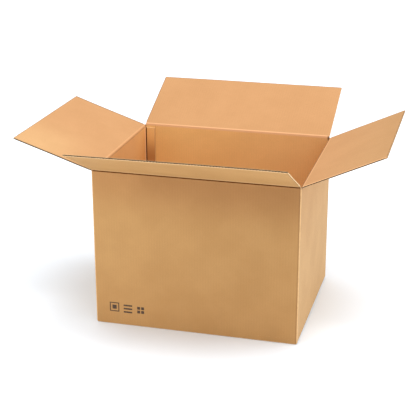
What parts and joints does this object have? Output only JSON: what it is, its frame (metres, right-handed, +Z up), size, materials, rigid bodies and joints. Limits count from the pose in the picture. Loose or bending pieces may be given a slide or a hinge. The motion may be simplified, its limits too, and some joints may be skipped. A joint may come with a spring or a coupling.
{
  "type": "open cardboard box",
  "caption": "Open corrugated cardboard shipping box standing on its taped base, with hinged top flaps folded outward so that its inside is clear.",
  "frame": {"origin": "middle of the base, on the plane that the box stands on", "axes": "+X along the long side, from the left wall to the right wall; +Y from the front wall to the back wall; +Z up, out of the open top"},
  "size_m": [1.0587, 0.9399, 0.5877],
  "materials": {
    "kraft_board": "matt brown kraft liner",
    "tape": "smooth brown film"
  },
  "bodies": {
    "case": {"case_body": "kraft_board", "bottom_tape": "tape"},
    "front_flap": {"flap_front": "kraft_board"},
    "back_flap": {"flap_back": "kraft_board"},
    "left_flap": {"flap_left": "kraft_board"},
    "right_flap": {"flap_right": "kraft_board"}
  },
  "joints": [
    {"name": "front_crease", "type": "hinge", "parent": "case", "child": "front_flap", "pos_m": [0, -0.2478, 0.4704], "axis": [1, 0, 0], "range_deg": [-152.6, 112.4]},
    {"name": "back_crease", "type": "hinge", "parent": "case", "child": "back_flap", "pos_m": [0, 0.2478, 0.4704], "axis": [-1, 0, 0], "range_deg": [-156.3, 108.7]},
    {"name": "left_crease", "type": "hinge", "parent": "case", "child": "left_flap", "pos_m": [-0.3003, 0, 0.466], "axis": [0, -1, 0], "range_deg": [-162, 103]},
    {"name": "right_crease", "type": "hinge", "parent": "case", "child": "right_flap", "pos_m": [0.3003, 0, 0.466], "axis": [0, 1, 0], "range_deg": [-155.3, 109.7]}
  ]
}
